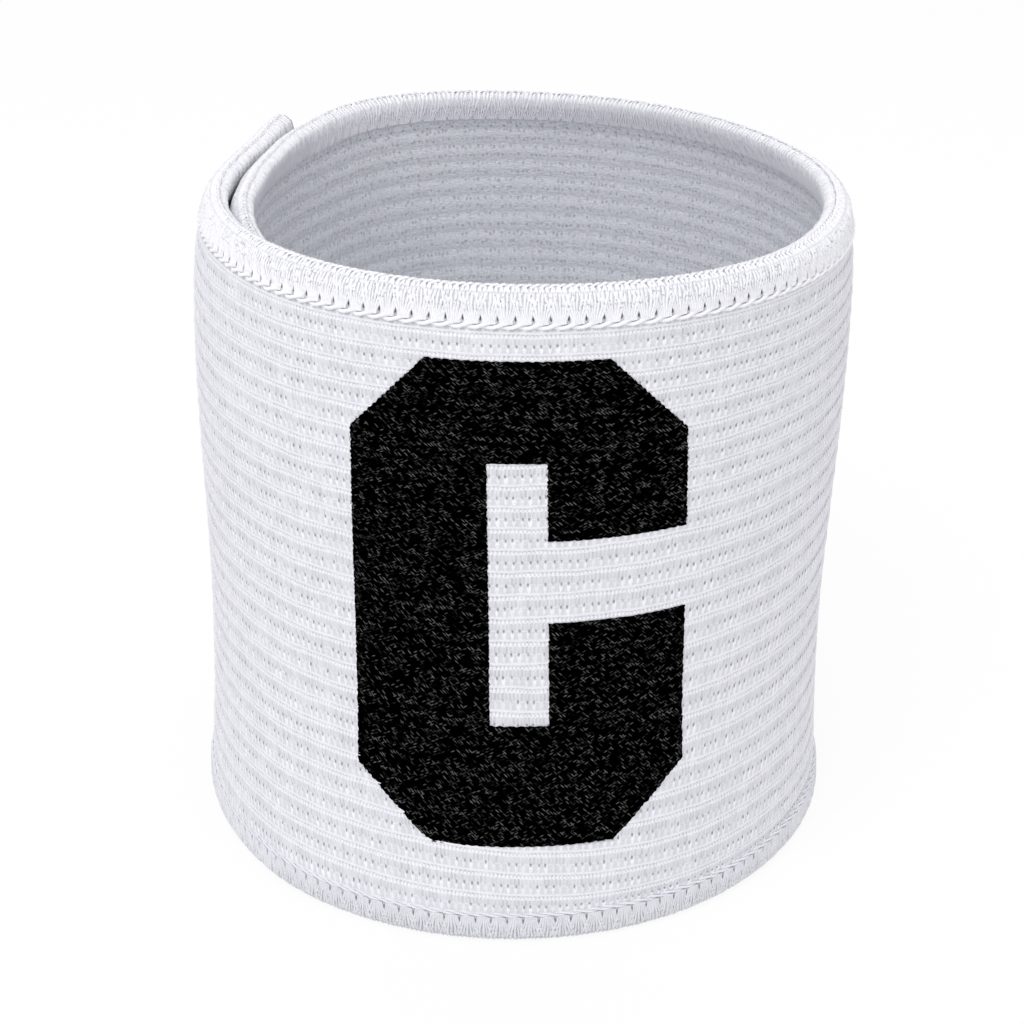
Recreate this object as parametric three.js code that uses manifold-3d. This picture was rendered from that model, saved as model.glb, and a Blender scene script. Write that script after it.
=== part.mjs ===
// Captain armband: a knitted elastic strip rolled into one upright loop, its two ends lapped at the left
// rear. It stands on its lower border with +Z up and its letter facing -Y. Lengths are in millimetres and
// angles in degrees.
import * as THREE from "three";
import { mergeVertices } from "three/addons/utils/BufferGeometryUtils.js";
import Module from "manifold-3d";

// Driving sizes of the strip and its borders
const BAND_HEIGHT = 80;
const RING_RADIUS = 37.9; // to the middle of the wall, near the foot
const WALL = 2.6; // knit, from its inner face to the tops of its ribs
const RIB_RELIEF = 0.5; // depth of the grooves between ribs
const RIB_COUNT = 27;
const EDGE_WALL = 1.7; // knit pressed flat inside a border
const BORDER_THICKNESS = 3.3;
const BORDER_HEIGHT = 3.2;
const BORDER_CAP = 1.0; // yarn over the edge of the knit
const RIM_ROUNDING = 1.5; // corners of the upper border
const FOOT_ROUNDING = 1.1; // corners of the lower border, flat between them
const FIT_GAP = 0.3; // clearance between pieces that touch
const LAYER_GAP = 0.45; // between the borders of the two lapped layers

// Driving sizes of the letter, a block C
const LETTER_WIDTH = 38.1; // at half its height
const LETTER_SPREAD = 0.095; // share of its width that it gains from top to foot
const LETTER_STEM = 15.1; // upright on the left of the slot
const LETTER_SLOT = 6.6; // width of the slot
const LETTER_TOP_ARM = 11.7;
const LETTER_FOOT_ARM = 16.3;
const LETTER_MOUTH = 10.1; // opening of the slot to the right
const LETTER_CHAMFER = 8.8; // cut corners
const LETTER_TOP_MARGIN = 7.4; // from the upper rim to the letter
const LETTER_FOOT_MARGIN = 12.8; // from the foot to the letter
const LETTER_SKIN = 0.5; // thickness of the black yarn

// Driving sizes of the hook-and-loop patch between the layers
const PATCH_LENGTH = 20;
const PATCH_HEIGHT = 36;

// Turns round the ring from its front left, clockwise seen from above, and how finely it is faceted
const ZERO_AZIMUTH = 230; // of turn 0, from +X
const STRIP_START = 20; // inner end of the strip
const STRIP_END = 450; // outer end, lapped over the inner one
const LETTER_TURN = 319.7; // middle of the letter, at the front
const LETTER_LEAN = 2.1; // turn that its middle gains from foot to top, which stands it upright
const PATCH_TURN = 66; // middle of the patch, on the inner layer
const STATIONS = 48;
const LETTER_STATIONS = 8;
const LETTER_ROWS = 6;
const ROUNDING_STEPS = 3;
const MOUTH_PLACE = 0.56; // middle of the mouth, as a share of the slot's height
const RIB_SQUEEZE = 0.18; // share by which ribs lie closer near the upper rim
const SLIVER = 0.004; // edges shorter than this are closed up after a cut

// The loop seen from above, along the strip. bulge: how far the upper rim stands out of round, as a share of
// RING_RADIUS. tuck: share of one layer's depth by which the strip lies inside, 1 under the lap. press: share
// of its thickness that is left. dip: share of BAND_HEIGHT by which the rim lies lower.
const PLAN = [
  { turn: 20, bulge: -0.017, tuck: 0.72, press: 0.74, dip: 0.03 },
  { turn: 30, bulge: -0.026, tuck: 0.72, press: 0.74, dip: 0.016 },
  { turn: 40, bulge: -0.035, tuck: 0.82, press: 0.83, dip: 0.004 },
  { turn: 51, bulge: -0.041, tuck: 1, press: 1, dip: 0 },
  { turn: 69, bulge: -0.031, tuck: 1, press: 1, dip: 0 },
  { turn: 88, bulge: 0.038, tuck: 1, press: 1, dip: 0 },
  { turn: 102, bulge: 0.075, tuck: 0.6, press: 1, dip: 0 },
  { turn: 112, bulge: 0.067, tuck: 0.25, press: 1, dip: 0 },
  { turn: 125, bulge: 0.028, tuck: 0, press: 1, dip: 0 },
  { turn: 138, bulge: -0.005, tuck: 0, press: 1, dip: 0 },
  { turn: 162, bulge: -0.039, tuck: 0, press: 1, dip: 0 },
  { turn: 198, bulge: -0.056, tuck: 0, press: 1, dip: 0 },
  { turn: 230, bulge: -0.016, tuck: 0, press: 1, dip: 0 },
  { turn: 263, bulge: 0.034, tuck: 0, press: 1, dip: 0 },
  { turn: 280, bulge: 0.042, tuck: 0, press: 1, dip: 0 },
  { turn: 320, bulge: 0.005, tuck: 0, press: 1, dip: 0 },
  { turn: 361, bulge: -0.005, tuck: 0, press: 1, dip: 0 },
  { turn: 376, bulge: -0.015, tuck: 0, press: 0.78, dip: 0 },
  { turn: 390, bulge: -0.026, tuck: 0, press: 0.74, dip: 0 },
  { turn: 400, bulge: -0.035, tuck: 0, press: 0.83, dip: 0 },
  { turn: 411, bulge: -0.042, tuck: 0, press: 1, dip: 0 },
  { turn: 424, bulge: -0.044, tuck: 0, press: 1, dip: 0 },
  { turn: 437, bulge: -0.012, tuck: 0, press: 1, dip: 0 },
  { turn: 450, bulge: 0.085, tuck: 0, press: 1, dip: 0 },
];

// The wall seen from the front, bottom to top. rise: share of BAND_HEIGHT. reach and lean: the ring's radius
// and its shift to the right, as shares of RING_RADIUS. rim: how much of the plan's bulge is felt there.
const FLARE = [
  { rise: 0, reach: 1.008, lean: 0.005, rim: 0 },
  { rise: 0.08, reach: 0.999, lean: 0.006, rim: 0 },
  { rise: 0.2, reach: 0.986, lean: 0.009, rim: 0.02 },
  { rise: 0.35, reach: 0.98, lean: 0.013, rim: 0.05 },
  { rise: 0.5, reach: 0.987, lean: 0.018, rim: 0.1 },
  { rise: 0.65, reach: 0.997, lean: 0.022, rim: 0.16 },
  { rise: 0.8, reach: 1.0, lean: 0.026, rim: 0.28 },
  { rise: 0.92, reach: 0.99, lean: 0.029, rim: 0.5 },
  { rise: 1, reach: 0.957, lean: 0.03, rim: 1 },
];

// Sizes that follow from the driving ones
const LAYER_STEP = BORDER_THICKNESS + LAYER_GAP;
const OUTER_FACE = WALL / 2; // depths are measured from the middle of the wall, outwards
const BORDER_FACE = BORDER_THICKNESS / 2;
const CHANNEL_FACE = EDGE_WALL / 2 + FIT_GAP; // inside of a border's legs
const EDGE_HEIGHT = BORDER_HEIGHT + FIT_GAP; // where the knit comes out of a border at full thickness
const LETTER_TOP = BAND_HEIGHT - LETTER_TOP_MARGIN;
const LETTER_HEIGHT = LETTER_TOP - LETTER_FOOT_MARGIN;
const LETTER_LEFT = -LETTER_WIDTH / 2;
const LETTER_RIGHT = LETTER_WIDTH / 2;
const SLOT_FOOT = LETTER_FOOT_MARGIN + LETTER_FOOT_ARM;
const SLOT_TOP = LETTER_TOP - LETTER_TOP_ARM;
const SLOT_LEFT = LETTER_LEFT + LETTER_STEM;
const SLOT_RIGHT = SLOT_LEFT + LETTER_SLOT;
const MOUTH_MIDDLE = SLOT_FOOT + MOUTH_PLACE * (SLOT_TOP - SLOT_FOOT);

const wasm = await Module();
wasm.setup();

// A smooth curve through one column of a table, read at a value of its key column.
function readTable(rows, key, column, at) {
  const last = rows.length - 1;
  const found = rows.findIndex((row) => row[key] > at);
  const right = found < 0 ? last : Math.max(found, 1);
  const left = right - 1;
  const slopeAt = (i) => {
    const before = rows[Math.max(i - 1, 0)];
    const after = rows[Math.min(i + 1, last)];
    return (after[column] - before[column]) / (after[key] - before[key]);
  };
  const span = rows[right][key] - rows[left][key];
  const s = THREE.MathUtils.clamp((at - rows[left][key]) / span, 0, 1);
  return (
    (2 * s ** 3 - 3 * s ** 2 + 1) * rows[left][column] +
    (s ** 3 - 2 * s ** 2 + s) * span * slopeAt(left) +
    (3 * s ** 2 - 2 * s ** 3) * rows[right][column] +
    (s ** 3 - s ** 2) * span * slopeAt(right)
  );
}

// A share from the plan, kept from running a little past 0 or 1 as a smooth curve does.
function planShare(column, turn) {
  return THREE.MathUtils.clamp(readTable(PLAN, "turn", column, turn), 0, 1);
}

// The middle of the wall at a turn round the strip and a height above the foot.
function wallMiddle(turn, height) {
  const rise = height / BAND_HEIGHT;
  const reach = readTable(FLARE, "rise", "reach", rise);
  const bulge = readTable(PLAN, "turn", "bulge", turn) * readTable(FLARE, "rise", "rim", rise);
  const radius = RING_RADIUS * (reach + bulge) - LAYER_STEP * planShare("tuck", turn);
  const azimuth = THREE.MathUtils.degToRad(ZERO_AZIMUTH - turn);
  const shift = RING_RADIUS * readTable(FLARE, "rise", "lean", rise);
  const raised = height * (1 - planShare("dip", turn));
  return new THREE.Vector3(shift + radius * Math.cos(azimuth), radius * Math.sin(azimuth), raised);
}

// A point at a depth from the middle of the wall, square to the loop as seen from above.
function wallPoint(turn, height, depth) {
  const step = 0.5;
  const ahead = wallMiddle(Math.min(turn + step, STRIP_END), height);
  const behind = wallMiddle(Math.max(turn - step, STRIP_START), height);
  const along = ahead.sub(behind).setZ(0).normalize();
  const outwards = new THREE.Vector3(-along.y, along.x, 0);
  const pressed = depth * planShare("press", turn);
  return wallMiddle(turn, height).addScaledVector(outwards, pressed);
}

// A closed body lofted along the strip. sections holds, in order of turn, outlines of [depth, height] points
// that run anticlockwise with depth to the right. turnAt gives the turn of a section's place at any height.
function loftBody(sections, turnAt = (place) => place) {
  const size = sections[0].outline.length;
  const positions = [];
  sections.forEach(({ place, outline }) => {
    outline.forEach(([depth, height]) => {
      positions.push(...wallPoint(turnAt(place, height), height, depth).toArray());
    });
  });
  const index = [];
  for (let i = 0; i + 1 < sections.length; i++) {
    for (let j = 0; j < size; j++) {
      const near = i * size + j;
      const nearNext = i * size + ((j + 1) % size);
      index.push(near, nearNext, near + size, nearNext, nearNext + size, near + size);
    }
  }
  const capOf = ({ outline }) => {
    const points = outline.map((at) => new THREE.Vector2(...at));
    return THREE.ShapeUtils.triangulateShape(points, []);
  };
  const farStart = (sections.length - 1) * size;
  capOf(sections[0]).forEach(([a, b, c]) => index.push(a, c, b));
  capOf(sections.at(-1)).forEach(([a, b, c]) => index.push(farStart + a, farStart + b, farStart + c));
  const body = new THREE.BufferGeometry();
  body.setAttribute("position", new THREE.Float32BufferAttribute(positions, 3));
  body.setIndex(index);
  return body;
}

function evenSteps(from, to, steps) {
  return Array.from({ length: steps + 1 }, (_, i) => from + ((to - from) * i) / steps);
}

// The same outline swept from one end of the strip to the other.
function sweepStrip(outline) {
  return loftBody(evenSteps(STRIP_START, STRIP_END, STATIONS).map((place) => ({ place, outline })));
}

function toSolid(geometry) {
  const merged = mergeVertices(geometry, 1e-4);
  return new wasm.Manifold(
    new wasm.Mesh({
      numProp: 3,
      vertProperties: new Float32Array(merged.attributes.position.array),
      triVerts: new Uint32Array(merged.index.array),
    }),
  );
}

function toGeometry(solid) {
  const mesh = solid.getMesh();
  const geometry = new THREE.BufferGeometry();
  geometry.setAttribute("position", new THREE.BufferAttribute(new Float32Array(mesh.vertProperties), 3));
  geometry.setIndex(new THREE.BufferAttribute(new Uint32Array(mesh.triVerts), 1));
  return geometry;
}

// The height of rib number k, counted from the foot; ribs lie closer towards the upper rim.
function ribHeight(k) {
  const share = k / RIB_COUNT;
  const drawn = (1 + RIB_SQUEEZE) * share - RIB_SQUEEZE * share ** 2;
  return EDGE_HEIGHT + (BAND_HEIGHT - 2 * EDGE_HEIGHT) * drawn;
}

// The knit wall: thin edges inside the borders, and ribs running round the outer face between them.
function makeBand() {
  const edgeFoot = BORDER_CAP + FIT_GAP;
  const edgeTop = BAND_HEIGHT - edgeFoot;
  const section = [
    [EDGE_WALL / 2, edgeFoot],
    [EDGE_WALL / 2, EDGE_HEIGHT],
  ];
  for (let k = 0; k < RIB_COUNT; k++) {
    section.push([OUTER_FACE - RIB_RELIEF, ribHeight(k)]);
    section.push([OUTER_FACE, ribHeight(k + 0.5)]);
  }
  section.push([OUTER_FACE - RIB_RELIEF, ribHeight(RIB_COUNT)]);
  section.push([EDGE_WALL / 2, BAND_HEIGHT - EDGE_HEIGHT]);
  section.push([EDGE_WALL / 2, edgeTop]);
  section.push([-EDGE_WALL / 2, edgeTop]);
  section.push([-EDGE_WALL / 2, BAND_HEIGHT - EDGE_HEIGHT]);
  const innerRows = FLARE.length;
  for (let k = innerRows; k >= 0; k--) {
    section.push([-OUTER_FACE, EDGE_HEIGHT + ((BAND_HEIGHT - 2 * EDGE_HEIGHT) * k) / innerRows]);
  }
  section.push([-EDGE_WALL / 2, EDGE_HEIGHT]);
  section.push([-EDGE_WALL / 2, edgeFoot]);
  return sweepStrip(section);
}

// A bound edge in the form of a channel with round corners. heightOf turns a distance from the edge into a
// height above the foot, so that the same form caps the upper rim and underlines the lower one.
function makeBorder(rounding, heightOf) {
  const section = [[BORDER_FACE, BORDER_HEIGHT]];
  for (const side of [1, -1]) {
    for (let i = 0; i <= ROUNDING_STEPS; i++) {
      const share = side > 0 ? i / ROUNDING_STEPS : 1 - i / ROUNDING_STEPS;
      const angle = (share * Math.PI) / 2;
      const depth = BORDER_FACE - rounding * (1 - Math.cos(angle));
      section.push([side * depth, rounding * (1 - Math.sin(angle))]);
    }
  }
  section.push([-BORDER_FACE, BORDER_HEIGHT]);
  section.push([-CHANNEL_FACE, BORDER_HEIGHT]);
  section.push([-CHANNEL_FACE, BORDER_CAP]);
  section.push([CHANNEL_FACE, BORDER_CAP]);
  section.push([CHANNEL_FACE, BORDER_HEIGHT]);
  const placed = section.map(([depth, inset]) => [depth, heightOf(inset)]);
  return sweepStrip(heightOf(1) < heightOf(0) ? placed : placed.reverse());
}

// The turn of a place across the letter. The letter widens towards its foot.
function letterTurn(across, height) {
  const rise = (height - LETTER_FOOT_MARGIN) / LETTER_HEIGHT - 0.5;
  const widened = across * (1 - LETTER_SPREAD * rise);
  return LETTER_TURN + LETTER_LEAN * rise - THREE.MathUtils.radToDeg(widened / (RING_RADIUS + OUTER_FACE));
}

// A curved block in the outer face of the wall. across runs to the right along that face, from the middle of
// the letter, in millimetres; edgesAt gives the block's lower and upper edge there. breaks are its corners.
function faceBlock(left, right, edgesAt, depthIn, depthOut, breaks = []) {
  const corners = breaks.filter((at) => at > left && at < right);
  const stops = new Set([...evenSteps(left, right, LETTER_STATIONS), ...corners]);
  const inTurnOrder = [...stops].sort((a, b) => b - a);
  const sections = inTurnOrder.map((across) => {
    const rows = evenSteps(...edgesAt(across), LETTER_ROWS);
    const outer = rows.map((height) => [depthOut, height]);
    const inner = rows.map((height) => [depthIn, height]).reverse();
    return { place: across, outline: [...outer, ...inner] };
  });
  return toSolid(loftBody(sections, letterTurn));
}

// The letter grown by a margin on every edge. With no margin it is the yarn itself, with one its pocket.
function makeLetterForm(margin, depthIn, depthOut) {
  const left = LETTER_LEFT - margin;
  const right = LETTER_RIGHT + margin;
  const chamferLeft = LETTER_LEFT + LETTER_CHAMFER;
  const chamferRight = LETTER_RIGHT - LETTER_CHAMFER;
  const corners = [LETTER_LEFT, chamferLeft, chamferRight, LETTER_RIGHT];
  const cutAt = (across) => {
    const past = Math.max(chamferLeft - across, across - chamferRight, 0);
    return Math.min(past, LETTER_CHAMFER);
  };
  const bodyEdges = (across) => [
    LETTER_FOOT_MARGIN - margin + cutAt(across),
    LETTER_TOP + margin - cutAt(across),
  ];
  const slotEdges = () => [SLOT_FOOT + margin, SLOT_TOP - margin];
  const mouthHalf = LETTER_MOUTH / 2 - margin;
  const mouthEdges = () => [MOUTH_MIDDLE - mouthHalf, MOUTH_MIDDLE + mouthHalf];
  const deeper = depthIn - FIT_GAP;
  const higher = depthOut + FIT_GAP;
  const slotLeft = SLOT_LEFT + margin;
  return faceBlock(left, right, bodyEdges, depthIn, depthOut, corners)
    .subtract(faceBlock(slotLeft, SLOT_RIGHT - margin, slotEdges, deeper, higher))
    .subtract(faceBlock(slotLeft, right + FIT_GAP, mouthEdges, deeper, higher));
}

// The patch that joins the layers, seated between the knit of the inner one and that of the outer one.
function makePatch() {
  const halfTurn = THREE.MathUtils.radToDeg(PATCH_LENGTH / 2 / RING_RADIUS);
  const foot = (BAND_HEIGHT - PATCH_HEIGHT) / 2;
  const inner = OUTER_FACE + FIT_GAP;
  const outer = LAYER_STEP - OUTER_FACE - FIT_GAP;
  const rows = evenSteps(foot, foot + PATCH_HEIGHT, LETTER_ROWS);
  const back = rows.map((height) => [inner, height]).reverse();
  const outline = [...rows.map((height) => [outer, height]), ...back];
  const turns = evenSteps(PATCH_TURN - halfTurn, PATCH_TURN + halfTurn, LETTER_STATIONS);
  return loftBody(turns.map((place) => ({ place, outline })));
}

const WHITE_KNIT = { color: 0xe1e1e7, roughness: 0.95, metalness: 0 };
const WHITE_BORDER = { color: 0xececf1, roughness: 0.95, metalness: 0 };
const BLACK_KNIT = { color: 0x0d0d0e, roughness: 0.85, metalness: 0 };
const PATCH_TAPE = { color: 0xd4d4d8, roughness: 1, metalness: 0 };

const armband = new THREE.Group();

function addPiece(name, geometry, look) {
  const mesh = new THREE.Mesh(geometry, new THREE.MeshStandardMaterial(look));
  mesh.name = name;
  armband.add(mesh);
}

const letterIn = OUTER_FACE - LETTER_SKIN;
const letter = makeLetterForm(0, letterIn, OUTER_FACE);
const pocket = makeLetterForm(FIT_GAP, letterIn - FIT_GAP, BORDER_FACE);
addPiece("band", toGeometry(toSolid(makeBand()).subtract(pocket).simplify(SLIVER)), WHITE_KNIT);
addPiece("top_border", makeBorder(RIM_ROUNDING, (inset) => BAND_HEIGHT - inset), WHITE_BORDER);
addPiece("bottom_border", makeBorder(FOOT_ROUNDING, (inset) => inset), WHITE_BORDER);
addPiece("captain_letter", toGeometry(letter), BLACK_KNIT);
addPiece("closure_patch", makePatch(), PATCH_TAPE);

// The origin is on the ground under the middle of the whole armband.
const extent = new THREE.Box3().setFromObject(armband);
const middle = extent.getCenter(new THREE.Vector3());
armband.position.set(-middle.x, -middle.y, -extent.min.z);

export default armband;
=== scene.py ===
import math

import bpy
import numpy as np
from mathutils import Euler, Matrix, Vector


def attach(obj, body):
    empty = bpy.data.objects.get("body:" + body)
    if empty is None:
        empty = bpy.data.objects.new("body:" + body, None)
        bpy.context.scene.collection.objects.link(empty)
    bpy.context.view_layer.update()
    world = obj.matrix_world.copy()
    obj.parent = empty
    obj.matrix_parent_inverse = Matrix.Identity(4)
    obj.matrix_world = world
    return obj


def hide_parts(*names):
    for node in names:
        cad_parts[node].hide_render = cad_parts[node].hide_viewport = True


# A captain's armband: a strip of elastic knit rolled into an upright loop, with a black letter in its
# front. Sizes are in millimetres and turns in degrees until a piece is bent round the loop.
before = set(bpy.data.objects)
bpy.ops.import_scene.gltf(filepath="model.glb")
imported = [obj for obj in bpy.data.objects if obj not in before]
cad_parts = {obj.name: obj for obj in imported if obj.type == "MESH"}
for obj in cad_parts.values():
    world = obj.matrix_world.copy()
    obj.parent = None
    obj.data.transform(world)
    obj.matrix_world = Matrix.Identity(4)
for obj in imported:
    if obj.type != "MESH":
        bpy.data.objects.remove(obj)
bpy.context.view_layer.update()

# The strip. The real one is a single length of ribbed elastic, knitted flat, bound along both edges and
# rolled up so that its two ends lap at the left rear. All pieces below are laid out flat on this strip
# and then bent round the loop with it.
MM = 0.001
BAND_HEIGHT = 80.0
RING_RADIUS = 37.9
WALL = 2.6
BORDER_THICKNESS = 3.3
FIT_GAP = 0.3
LAYER_GAP = 0.45
OUTER_FACE = WALL / 2
BORDER_FACE = BORDER_THICKNESS / 2
LAYER_STEP = BORDER_THICKNESS + LAYER_GAP
ZERO_AZIMUTH = 230.0  # of turn 0, from +X
STRIP_START = 20.0
STRIP_END = 450.0
LOOP_AXIS = (-0.227, -0.020, 0.0)  # from the middle of the armband to the axis that the strip turns round
BULGE, TUCK, PRESS, DIP = 1, 2, 3, 4
REACH, LEAN, RIM = 1, 2, 3

# The loop from above: turn along the strip, bulge of the rim as a share of the radius, tuck under the lap,
# share of the thickness that is left, and share of the height by which the rim lies lower.
PLAN = [
    (20, -0.017, 0.72, 0.74, 0.03), (30, -0.026, 0.72, 0.74, 0.016), (40, -0.035, 0.82, 0.83, 0.004),
    (51, -0.041, 1, 1, 0), (69, -0.031, 1, 1, 0), (88, 0.038, 1, 1, 0), (102, 0.075, 0.6, 1, 0),
    (112, 0.067, 0.25, 1, 0), (125, 0.028, 0, 1, 0), (138, -0.005, 0, 1, 0), (162, -0.039, 0, 1, 0),
    (198, -0.056, 0, 1, 0), (230, -0.016, 0, 1, 0), (263, 0.034, 0, 1, 0), (280, 0.042, 0, 1, 0),
    (320, 0.005, 0, 1, 0), (361, -0.005, 0, 1, 0), (376, -0.015, 0, 0.78, 0), (390, -0.026, 0, 0.74, 0),
    (400, -0.035, 0, 0.83, 0), (411, -0.042, 0, 1, 0), (424, -0.044, 0, 1, 0), (437, -0.012, 0, 1, 0),
    (450, 0.085, 0, 1, 0),
]
# The wall from the front: rise, reach and lean as shares of the radius, and share of the rim's bulge.
FLARE = [
    (0, 1.008, 0.005, 0), (0.08, 0.999, 0.006, 0), (0.2, 0.986, 0.009, 0.02), (0.35, 0.98, 0.013, 0.05),
    (0.5, 0.987, 0.018, 0.1), (0.65, 0.997, 0.022, 0.16), (0.8, 1.0, 0.026, 0.28),
    (0.92, 0.99, 0.029, 0.5), (1, 0.957, 0.03, 1),
]


def read_table(rows, column, at):
    """A smooth curve through one column of a table, read at values of its first column."""
    keys = np.array([row[0] for row in rows], float)
    values = np.array([row[column] for row in rows], float)
    before = np.maximum(np.arange(len(rows)) - 1, 0)
    after = np.minimum(np.arange(len(rows)) + 1, len(rows) - 1)
    slopes = (values[after] - values[before]) / (keys[after] - keys[before])
    right = np.clip(np.searchsorted(keys, at, side="right"), 1, len(rows) - 1)
    left = right - 1
    span = keys[right] - keys[left]
    part = np.clip((at - keys[left]) / span, 0, 1)
    return (
        (2 * part**3 - 3 * part**2 + 1) * values[left]
        + (part**3 - 2 * part**2 + part) * span * slopes[left]
        + (3 * part**2 - 2 * part**3) * values[right]
        + (part**3 - part**2) * span * slopes[right]
    )


def wall_middle(turn, height):
    """The middle of the wall at turns along the strip and heights above the foot."""
    rise = height / BAND_HEIGHT
    bulge = read_table(PLAN, BULGE, turn) * read_table(FLARE, RIM, rise)
    tuck = np.clip(read_table(PLAN, TUCK, turn), 0, 1)
    radius = RING_RADIUS * (read_table(FLARE, REACH, rise) + bulge) - LAYER_STEP * tuck
    azimuth = np.radians(ZERO_AZIMUTH - turn)
    shift = RING_RADIUS * read_table(FLARE, LEAN, rise)
    raised = height * (1 - np.clip(read_table(PLAN, DIP, turn), 0, 1))
    return np.stack([shift + radius * np.cos(azimuth), radius * np.sin(azimuth), raised], axis=-1)


def wall_point(turn, height, depth):
    """Points at a depth outwards from the middle of the wall, in metres in the armband's own frame."""
    turn, height, depth = np.broadcast_arrays(turn, height, depth)
    step = 0.5
    ahead = wall_middle(np.minimum(turn + step, STRIP_END), height)
    behind = wall_middle(np.maximum(turn - step, STRIP_START), height)
    along = ahead - behind
    along[..., 2] = 0
    along /= np.linalg.norm(along, axis=-1, keepdims=True)
    outwards = np.stack([-along[..., 1], along[..., 0], np.zeros(turn.shape)], axis=-1)
    pressed = depth * np.clip(read_table(PLAN, PRESS, turn), 0, 1)
    return (wall_middle(turn, height) + pressed[..., None] * outwards + LOOP_AXIS) * MM


# The knit. White polyester over elastic, worked in 27 raised courses: each is a row of upright double
# stitches above a row of small loops on a smooth cord. The wall is made in lengths that meet at a stitch,
# finest at the front, and each length has its ribbed outer face, its plain inner face and closed edges.
COLUMNS = 338
RIBS = 27
TOP_COURSE = 26.55  # where the last course goes under the binding
STITCH_WIDTH = 0.87
STITCH_HEIGHT = 2.7
COLUMN_TURN = (STRIP_END - STRIP_START) / COLUMNS
FRONT_COLUMN = 235.6  # middle of the letter
FINE_ROWS = [0, 0.06, 0.13, 0.22, 0.31, 0.4, 0.46, 0.62, 0.8, 0.93]
PLAIN_ROWS = [0, 0.08, 0.2, 0.33, 0.45, 0.65, 0.9]
HIDDEN_ROWS = [0, 0.5]
INNER_ROWS = [0, 0.25, 0.5, 0.75]
# The foot of a course: its number, its height, and how much higher it lies at the left than at the right.
COURSES = [
    (0, 3.5, 0), (1, 6.15, 1.6), (3, 12.05, 2.1), (5, 18.1, 1.75), (9, 30.4, 0.6), (12, 39.5, 0),
    (16, 50.85, -0.45), (20, 61.05, -0.45), (23, 68.5, 0), (27, 77.6, 0),
]
COURSE_HEIGHT, COURSE_TILT = 1, 2
# One course from its foot to its head: rise within the course and depth below its highest yarn.
COURSE = [
    (0, 0.15), (0.06, 0.06), (0.12, 0.0), (0.18, 0.02), (0.24, 0.05), (0.32, 0.03), (0.39, 0.1),
    (0.44, 0.22), (0.5, 0.15), (0.6, 0.09), (0.72, 0.05), (0.79, 0.06), (0.87, 0.0), (0.94, 0.05), (1, 0.15),
]
# Places within one course, from its foot and as shares of its height.
UPRIGHTS = (0.46, 0.8)
HEADS = (0.85, 0.95)
LOOPS = (0.2, 0.42)
LOOP_MIDDLE = 0.3
LOOP_SLANT = 2.2  # columns that a leaning loop moves along in one whole course
LEAN_COLUMNS = 55  # from the middle of the front to where the loops lean fully
DOTS = 1.8  # small dots in a column
BEADS = 1.95  # beads along the head of a course in a column
STRANDS = 2.0  # upright strands in a column
# One course on the inner face, which is softer.
INNER_COURSE = [(0, 0.22), (0.2, 0.08), (0.5, 0.0), (0.8, 0.06), (1, 0.22)]
FLOATS = (1.5, 2.0)  # floats of yarn in a column and in a course of the inner face
NEEDLE_COLUMNS = 2.11  # columns between needle holes
NEEDLE_COURSE = 26.05  # where they are
chance = np.random.default_rng(7)
stitch_size = chance.uniform(-1, 1, (COLUMNS + 2, RIBS + 1))
loop_size = chance.uniform(-1, 1, (COLUMNS + 2, RIBS + 1))
drift_phase = chance.uniform(0, 2 * math.pi, (3, RIBS + 2))
# How a course wanders: length in columns and size of each wave.
DRIFT_WAVES = [(23.0, 0.06), (9.1, 0.045), (4.3, 0.03)]
SMOOTH_ANGLE = 80  # edges sharper than this stay sharp


def smooth_step(low, high, value):
    share = np.clip((value - low) / (high - low), 0, 1)
    return share * share * (3 - 2 * share)


def window(value, low, high, blur):
    """1 between low and high, fading to 0 over a blur on either side."""
    return smooth_step(low - blur, low + blur, value) * (1 - smooth_step(high - blur, high + blur, value))


def column_turn(column):
    return STRIP_START + column * COLUMN_TURN


def course_height(column, course):
    """The height of a course, counted in courses from the foot. It wanders a little along the strip."""
    turn = column_turn(column)
    left_share = smooth_step(286, 356, turn) - 0.5 * smooth_step(150, 220, turn)
    tilt = left_share * read_table(COURSES, COURSE_TILT, course)
    height = read_table(COURSES, COURSE_HEIGHT, course) + tilt
    lower = np.clip(np.floor(course).astype(int), 0, RIBS)
    part = course - lower
    drift = 0
    for (length, size), phase in zip(DRIFT_WAVES, drift_phase):
        here = np.sin(2 * np.pi * column / length + phase[lower])
        above = np.sin(2 * np.pi * column / length + phase[lower + 1])
        drift = drift + size * (here * (1 - part) + above * part)
    free = np.sin(np.pi * np.clip(course / TOP_COURSE, 0, 1)) ** 0.5
    return height + drift * free


def loop_lean(column):
    """The small loops lean away from the middle of the front, to the right where this is positive."""
    return np.clip((FRONT_COLUMN - column) / LEAN_COLUMNS, -1, 1)


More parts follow.
